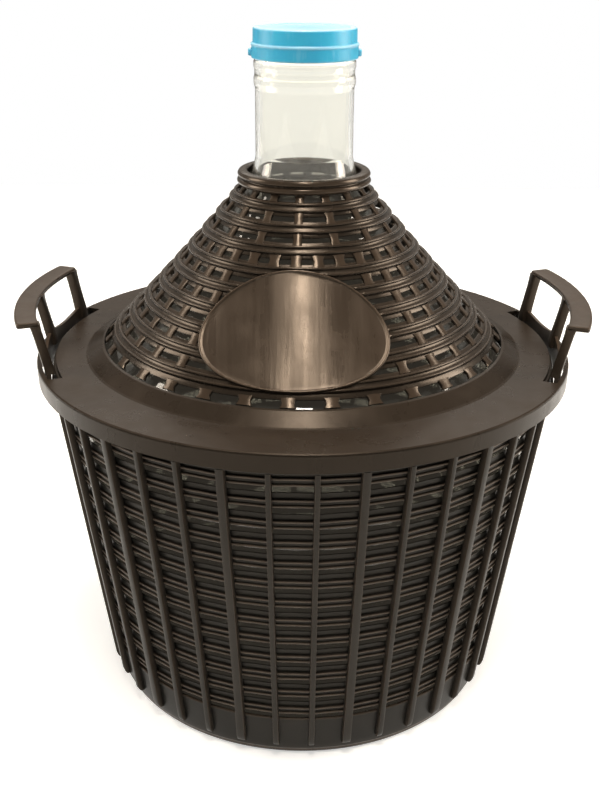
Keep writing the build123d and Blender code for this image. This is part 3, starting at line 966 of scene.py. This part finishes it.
# ---- cover
@dataclass
class Cover:
    """Collar, double-ridged rings, bars between the windows, label plate and flange."""

    material: bpy.types.Material
    cone_material: bpy.types.Material
    plate_material: bpy.types.Material
    cone: CoverCone = field(default_factory=CoverCone)
    plate: PlateOutline = field(default_factory=PlateOutline)
    ring_count: int = 9
    ring_first: float = 63.4
    ring_pitch: float = 12.3
    ring_growth: float = 0.145
    ring_segments: int = 384
    collar_segments: int = 240
    coarse_rows: int = 3
    coarse_windows: int = 16
    fine_windows: int = 32
    bar_front: float = math.radians(266.3)
    top_window: tuple[float, float] = (58.3, 2.0)
    low_window: tuple[float, float] = (179.9, 3.1)
    window_half: float = 2.4
    upper_bar: float = 3.8
    lower_bar: float = 4.7
    foot_bar: float = 5.6

    def ring_radii(self) -> np.ndarray:
        """Radii of the rings; their pitch grows a little from one to the next."""
        step = np.arange(self.ring_count)
        return self.ring_first + self.ring_pitch * step + self.ring_growth * step**2

    def rows(self) -> list[tuple[float, float]]:
        """Radius and half length of each row of windows, from the collar down."""
        radii = self.ring_radii()
        between = [(float(r), self.window_half) for r in (radii[:-1] + radii[1:]) / 2]
        return [self.top_window] + between + [self.low_window]

    def slant_between(self, upper: float, lower: float) -> float:
        """Distance down the slant from one radius to another."""
        return (lower - upper) / float(self.cone.slant((upper + lower) / 2)[0])

    def ring_outline(self, index: int) -> np.ndarray:
        """Ring section, along the slant and out of it: two half-round ridges between flat ledges.

        The ledges reach the windows above and below the ring.
        """
        radius = float(self.ring_radii()[index])
        above, below = self.rows()[index], self.rows()[index + 1]
        up = -self.slant_between(above[0], radius) + above[1]
        down = self.slant_between(radius, below[0]) - below[1]
        turn = np.linspace(0.0, math.pi, 8)
        ridge = np.stack([1.35 * np.cos(turn), -0.2 + 1.75 * np.sin(turn)], axis=-1)
        low = [(down, -3.0), (down, -1.8), (down - 0.5, -1.45), (4.6, -1.4)]
        high = [(-4.6, -1.4), (up + 0.5, -1.45), (up, -1.8), (up, -3.0)]
        middle = [(1.3, -0.35), (-1.3, -0.35)]
        return np.concatenate([low, ridge + (2.95, 0.0), middle, ridge - (2.95, 0.0), high])

    def sunk(self, points: np.ndarray, out: np.ndarray) -> np.ndarray:
        """Normal offset that keeps the rings below the label plate where it covers them."""
        hidden = np.clip((1.02 - self.plate.inside(points)) / 0.03, 0.0, 1.0)
        return out + hidden * (np.minimum(out, -0.9) - out)

    def rings(self) -> bpy.types.Object:
        """The rings, each its section carried round the cone.

        Heights waver by a slow ripple, and the ridges sink under the plate where it lies over
        them: points are first placed, tested against the plate's outline and placed again.
        """
        angle = np.arange(self.ring_segments) * TAU / self.ring_segments
        shell = Shell()
        for index, radius in enumerate(self.ring_radii()):
            along, rise = self.ring_outline(index).T
            waver = ripple(angle, 300 + index, 0.16, (3, 12))[:, None]
            out = rise
            for _ in range(2):
                r, z = self.cone.beside(radius, along + waver, out)
                points = about_axis(r, angle[:, None], z)
                out = self.sunk(points, rise)
            # Ridge crests turn paler: partly rubbing, partly painted highlight.
            shell.grid(points, True, True, ramped(rise, 0.9, 1.0))
        return shell.made("cover_rings")

    def bars(self) -> bpy.types.Object:
        """Bars between the windows: a flat, slightly crowned top, and flared ends.

        Their ends run under the ledges of the rings, and those under the plate are left out.
        """
        across = np.array([-1.0, -1.0, -0.90, -0.55, 0.0, 0.55, 0.90, 1.0, 1.0, 0.0])
        rise = np.array([-2.9, -1.3, -0.65, -0.30, -0.15, -0.30, -0.65, -1.3, -2.9, -2.9])
        spread = np.array([1.2, 1.0, 0.9, 1.0, 1.2])[:, None]
        shell = Shell()
        for row, (radius, half) in enumerate(self.rows()):
            coarse = row < self.coarse_rows
            count = self.coarse_windows if coarse else self.fine_windows
            half_width = self.upper_bar if coarse else self.lower_bar
            half_width = self.foot_bar if row == self.ring_count else half_width
            reach = half + (2.9 if 0 < row < self.ring_count else 1.2)
            along = np.linspace(-reach, reach, len(spread))[:, None]
            r, z = self.cone.beside(radius, along, rise)
            side = half_width * spread * across
            for bearing in self.bar_front + np.arange(count) * TAU / count:
                points = about_axis(r, bearing, z, side)
                if self.plate.inside(points).min() >= 0.97:
                    # Bar crowns turn paler: partly rubbing, partly painted highlight.
                    shell.swept(points, ramped(rise, -1.1, 0.7))
        return shell.made("cover_window_bars")

    def collar(self) -> bpy.types.Object:
        """Collar round the neck: a thick rolled lip over a second bead."""
        corners = [
            (50.4, 478.0), (57.0, 478.2), (59.2, 479.6), (59.8, 481.4), (59.0, 483.4),
            (57.2, 484.4), (57.2, 485.2), (59.0, 486.2), (59.2, 487.8), (58.0, 489.9),
            (55.4, 491.0), (52.0, 491.0), (50.4, 489.6),
        ]
        section = softened(corners, 0.7)
        # The outer lip turns paler: partly rubbing, partly painted highlight.
        worn_and_lit = ramped(section[:, 0], 57.5, 2.0)
        shell = Shell()
        shell.turned(
            section, self.collar_segments, wear_and_highlight=worn_and_lit, lift=lambda a: ripple(a, 5, 0.12) - 0.3
        )
        return shell.made("cover_collar")

    def label_plate(self) -> bpy.types.Object:
        """Blank oval plate bent round the cone, with a thin raised border.

        Rings of the same oval shrink to the middle. Each carries a height over the cone: level
        within, a half-round border near the edge, then down the side and back under the plate.
        """
        share = np.array(
            [0.10, 0.25, 0.40, 0.55, 0.70, 0.82, 0.90, 0.945, 0.957, 0.966, 0.975, 0.984, 0.992,
             0.997, 1.0, 1.0, 0.99, 0.80, 0.45]
        )
        out = np.array(
            [1.55, 1.55, 1.55, 1.5, 1.5, 1.5, 1.5, 1.55, 1.7, 2.3, 2.7, 2.75, 2.5,
             1.9, 1.0, -1.6, -2.4, -2.5, -2.5]
        )
        turn = np.arange(160) * TAU / 160
        egg = 1.0 + 0.055 * np.sin(turn)
        across = self.plate.half_width * np.cos(turn)[None] * egg[None] * share[:, None]
        down = self.plate.half_height * np.sin(turn)[None] * share[:, None]
        sway = 0.22 * np.sin(across / 11.0) * np.cos(down / 17.0) * (share[:, None] < 0.95)
        points = self.plate.on_cone(across, down, out[:, None] + sway)
        shell = Shell()
        # The raised border turns paler: partly rubbing, partly painted highlight.
        index = shell.grid(points, False, True, ramped(out, 2.0, 0.6)[:, None])
        middle = np.zeros(1)
        for end in (0, -1):
            shell.fan(index[end], self.plate.on_cone(middle, middle, middle + out[end])[0])
        return shell.made("blank_label_plate")

    def build(self, nodes: dict[str, bpy.types.Object]) -> None:
        """Builds the cover's pieces and dresses the flange.

        Args:
            nodes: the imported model's nodes by name.
        """
        settle(self.rings(), Body.COVER, self.cone_material, ["cover_cone"])
        settle(self.bars(), Body.COVER, self.cone_material)
        settle(self.collar(), Body.COVER, self.cone_material)
        settle(self.label_plate(), Body.COVER, self.plate_material, ["label_plate"])
        flange = nodes["cover_flange"]
        flange.data.materials.clear()
        flange.data.materials.append(self.material)
        log.info("cover_flange: kept from the packed model")


# ---- handles
@dataclass
class Handle:
    """Curved grip over three leaning legs, with a low web in the flange's slot."""

    name: str
    node: str
    bearing: float
    material: bpy.types.Material
    inner: float = 242.0
    outer: float = 261.0
    top: float = 374.0
    thickness: float = 5.0
    half_angle: float = math.radians(20.5)
    leg_angles: Triple = (-19.3, 0.0, 19.3)
    leg_radius: float = 240.0
    web_radius: float = 236.8
    web_low: float = 305.5
    web_high: float = 336.0
    leg_margin: float = 0.002
    web_margin: float = 0.004

    def placed(self, radius: Real, turn: Real, height: Real) -> np.ndarray:
        """Points at a radius, an angle from the handle's bearing and a height."""
        return about_axis(radius, self.bearing + turn, height)

    def grip(self, shell: Shell) -> None:
        """Flat grip: a softened strip carried round an arc, a little thinner at its ends."""
        across, up = rounded_box(self.outer - self.inner, self.thickness, 1.9, 3).T
        turn = np.concatenate(
            [[-1.0, -0.993, -0.975], np.linspace(-0.95, 0.95, 33), [0.975, 0.993, 1.0]]
        )
        fade = np.interp(np.abs(turn), [0.0, 0.95, 0.975, 0.993, 1.0], [1.0, 1.0, 0.97, 0.88, 0.72])
        middle = (self.inner + self.outer) / 2
        radius = middle + across * (0.5 + 0.5 * fade[:, None])
        height = self.top - self.thickness / 2 + up * fade[:, None]
        dish = 0.35 * np.cos(np.clip((radius - middle) / 9.5, -1, 1) * math.pi) - 0.35
        # Grip edges turn paler: partly rubbing, partly painted highlight.
        worn_and_lit = ramped(np.abs(across), 7.0, 2.5) * (up > 0)
        shell.swept(self.placed(radius, turn[:, None] * self.half_angle, height + dish), worn_and_lit)

    def legs(self, shell: Shell) -> None:
        """Three legs that lean outwards as they rise and widen into the grip."""
        rise = np.array([324.0, 329.0, 334.0, 345.0, 358.0, 365.0, 369.2, 371.0])
        lean = np.interp(rise, [324.0, 329.0, 371.0], [235.5, 235.9, 245.6])
        wide = np.array([12.5, 11.6, 10.6, 9.6, 9.4, 9.8, 11.6, 13.0])
        deep = np.array([8.2, 8.8, 9.2, 8.8, 8.6, 8.8, 9.4, 10.0])
        across, along = rounded_box(1.0, 1.0, 0.22, 2).T
        limit = self.half_angle - self.leg_margin
        for degrees in self.leg_angles:
            radius = lean[:, None] + along * deep[:, None]
            turn = math.radians(degrees) + across * wide[:, None] / self.leg_radius
            points = self.placed(radius, np.clip(turn, -limit, limit), rise[:, None])
            # Leg sides turn paler: partly rubbing, partly painted highlight.
            shell.swept(points, 0.4 * (np.abs(across) > 0.3))

    def web(self, shell: Shell) -> None:
        """Low wall between the legs, its top edge dipping halfway between them."""
        turn = np.linspace(-1.0, 1.0, 41)[:, None]
        dip = 5.5 * np.abs(np.sin(turn * math.pi)) ** 1.3
        outline = softened([(-2.4, 0.0), (2.4, 0.0), (1.9, 1.0), (-1.9, 1.0)], 0.5, steps=2)
        across, up = outline.T
        height = self.web_low + up * (self.web_high - dip - self.web_low)
        angle = turn * (self.half_angle - self.web_margin)
        shell.swept(self.placed(self.web_radius + across, angle, height), 0.5 * (up > 0.8))

    def build(self) -> None:
        """Builds the handle as one piece."""
        shell = Shell()
        self.grip(shell)
        self.legs(shell)
        self.web(shell)
        settle(shell.made(self.name), Body.COVER, self.material, [self.node])


# ---- studio
@dataclass
class Studio:
    """Pale floor, soft lights and the camera."""

    distance: float = 0.9974
    height: float = 0.6876
    pitch: float = math.radians(21.55)
    roll: float = math.radians(0.39)
    focal: float = 50.64
    shift: tuple[float, float] = (-0.0034, -0.0324)
    aim: Triple = (0.0, 0.0, 0.35)
    floor_x: tuple[float, float] = (-2.6, 2.6)
    floor_y: tuple[float, float] = (-2.6, 2.2)
    sky: tuple[tuple[float, float], ...] = ((0.0, 0.3), (0.48, 0.6), (0.60, 0.75), (1.0, 0.35))
    sky_tint: Triple = (1.0, 0.94, 0.85)
    sky_strength: float = 0.45

    @staticmethod
    def standing(right: Sequence, up: Sequence, back: Sequence, place: Triple) -> Matrix:
        """Placement whose three axes point right, up and back from a place."""
        matrix = np.eye(4)
        matrix[:3] = np.stack([right, up, back, place], axis=-1)
        return Matrix(matrix.tolist())

    def camera(self) -> None:
        """Camera in front of the object, looking down at it and turned a little about its view."""
        data = bpy.data.cameras.new("studio_camera")
        data.sensor_fit = "AUTO"
        data.sensor_width = 36.0
        data.lens = self.focal
        data.shift_x, data.shift_y = self.shift
        data.clip_start = 0.05
        data.clip_end = 50.0
        back = np.array([0.0, -math.cos(self.pitch), math.sin(self.pitch)])
        up = np.array([0.0, math.sin(self.pitch), math.cos(self.pitch)])
        right = np.array([1.0, 0.0, 0.0])
        turned_right = math.cos(self.roll) * right + math.sin(self.roll) * up
        turned_up = math.cos(self.roll) * up - math.sin(self.roll) * right
        camera = shown("studio_camera", data)
        place = (0.0, -self.distance, self.height)
        camera.matrix_world = self.standing(turned_right, turned_up, back, place)
        bpy.context.scene.camera = camera

    def lamp(
        self, name: str, place: Triple, size: tuple[float, float], power: float, colour: Triple
    ) -> None:
        """Adds one rectangular soft light that faces the object.

        Args:
            name: the light's name.
            place: where it hangs.
            size: its width and height in metres.
            power: its power in watts.
            colour: its colour.
        """
        data = bpy.data.lights.new(name, "AREA")
        data.shape = "RECTANGLE"
        data.size, data.size_y = size
        data.energy = power
        data.color = colour
        away = np.subtract(place, self.aim)
        away /= np.linalg.norm(away)
        side = np.cross((0.0, 0.0, 1.0), away)
        side /= np.linalg.norm(side)
        shown(name, data).matrix_world = self.standing(side, np.cross(away, side), away, place)

    def world(self) -> None:
        """Bright surroundings above, dimmer ones below, white where the camera looks past."""
        world = bpy.data.worlds.new("studio_world")
        sheet = Sheet(world, "Generated")
        height = sheet.node("SeparateXYZ", {"Vector": sheet.place}, "Z")
        level = sheet.node("MapRange", {"Value": height, "From Min": -1.0, "From Max": 1.0})
        stops = [(where, [shade * part for part in self.sky_tint]) for where, shade in self.sky]
        shade = sheet.node("ValToRGB", {"Fac": level}, "Color", stops=stops)
        around = sheet.node("Background", {"Color": shade, "Strength": self.sky_strength})
        seen = sheet.node("Background", {"Color": (1.0, 1.0, 1.0, 1.0), "Strength": 1.0})
        direct = sheet.node("LightPath", {}, "Is Camera Ray")
        through = sheet.node("LightPath", {}, "Is Transmission Ray")
        mix = sheet.node("MixShader", {"Fac": direct.at_least(through), 1: around, 2: seen})
        sheet.output("OutputWorld", mix)
        bpy.context.scene.world = world
        bpy.context.scene.view_settings.view_transform = "Standard"

    def floor(self) -> None:
        """Wide level floor: a plain grid of a few large squares."""
        x, y = np.meshgrid(np.linspace(*self.floor_x, 3), np.linspace(*self.floor_y, 9))
        points = np.stack([x, y, np.zeros_like(x)], axis=-1)
        index = np.arange(x.size).reshape(x.shape)
        quads = np.stack([index[:-1, :-1], index[:-1, 1:], index[1:, 1:], index[1:, :-1]], axis=-1)
        mesh = bpy.data.meshes.new("studio_floor")
        mesh.from_pydata(points.reshape(-1, 3).tolist(), [], quads.reshape(-1, 4).tolist())
        mesh.polygons.foreach_set("use_smooth", np.ones(len(mesh.polygons), dtype=bool))
        floor = shown("studio_floor", mesh)
        floor.data.materials.append(FloorPaper().made())

    def build(self) -> None:
        """Builds the whole studio."""
        self.camera()
        self.world()
        self.floor()
        warm, pale, cream = (1.0, 0.93, 0.84), (1.0, 0.95, 0.88), (1.0, 0.90, 0.78)
        self.lamp("overhead_soft", (0.0, -0.45, 2.4), (0.28, 1.7), 55.0, warm)
        self.lamp("back_wide", (0.0, 1.9, 1.9), (2.6, 1.2), 16.0, pale)
        self.lamp("side_right", (2.1, 0.1, 1.1), (0.8, 1.4), 44.0, cream)
        self.lamp("side_left", (-2.1, 0.2, 1.2), (0.8, 1.4), 32.0, cream)
        log.info("studio: camera, world, floor and lights")


def main() -> None:
    """Builds every sub-assembly in order."""
    logging.basicConfig(level=logging.INFO, format="%(name)s: %(message)s")
    Studio().build()
    # Each plastic's shares set how much of its pale colour is painted highlight on upward faces,
    # crests and edges, partly chalky film, dust and rubbing.
    basket_plastic = MouldedPlastic(
        "basket_polyethylene",
        deep=(0.0046, 0.0048, 0.0042),
        warm=(0.0105, 0.0102, 0.0088),
        bloom_and_highlight=(0.072, 0.055, 0.042),
        dust_and_highlight_share=0.25,
        roughness=0.30,
        gloss=0.17,
        # A high share: the basket's crests and rib edges carry a painted brown highlight, partly
        # rubbing.
        wear_and_highlight_share=0.85,
        sheen=(1.0, 0.90, 0.79, 1.0),
    ).made()
    cover_plastic = MouldedPlastic(
        "cover_polyethylene", dust_and_highlight_share=0.30, roughness=0.25, gloss=0.19
    ).made()
    cone_plastic = MouldedPlastic(
        "cone_polyethylene", dust_and_highlight_share=0.30, roughness=0.21, gloss=0.38
    ).made()
    # The plate's upward face takes a large share of pale colour: painted sheen of the light from
    # above, partly dust.
    plate_plastic = MouldedPlastic(
        "plate_polyethylene",
        dust_and_highlight_share=0.70,
        roughness=0.23,
        gloss=0.5,
        streaks=1.0,
        streak_scale=90.0,
        streak_stretch=(1.0, 0.07, 0.07),
        grain=0.25,
    ).made()
    handle_plastic = MouldedPlastic("handle_polyethylene", dust_and_highlight_share=0.55, roughness=0.30).made()
    Demijohn(BottleGlass().made()).build()
    Basket(basket_plastic).build()
    Cover(cover_plastic, cone_plastic, plate_plastic).build(frame["nodes"])
    Handle("right_lifting_handle", "right_handle", 0.0, handle_plastic).build()
    Handle("left_lifting_handle", "left_handle", math.pi, handle_plastic).build()
    SnapCap(CapPlastic().made()).build()


if __name__ == "__main__":
    main()
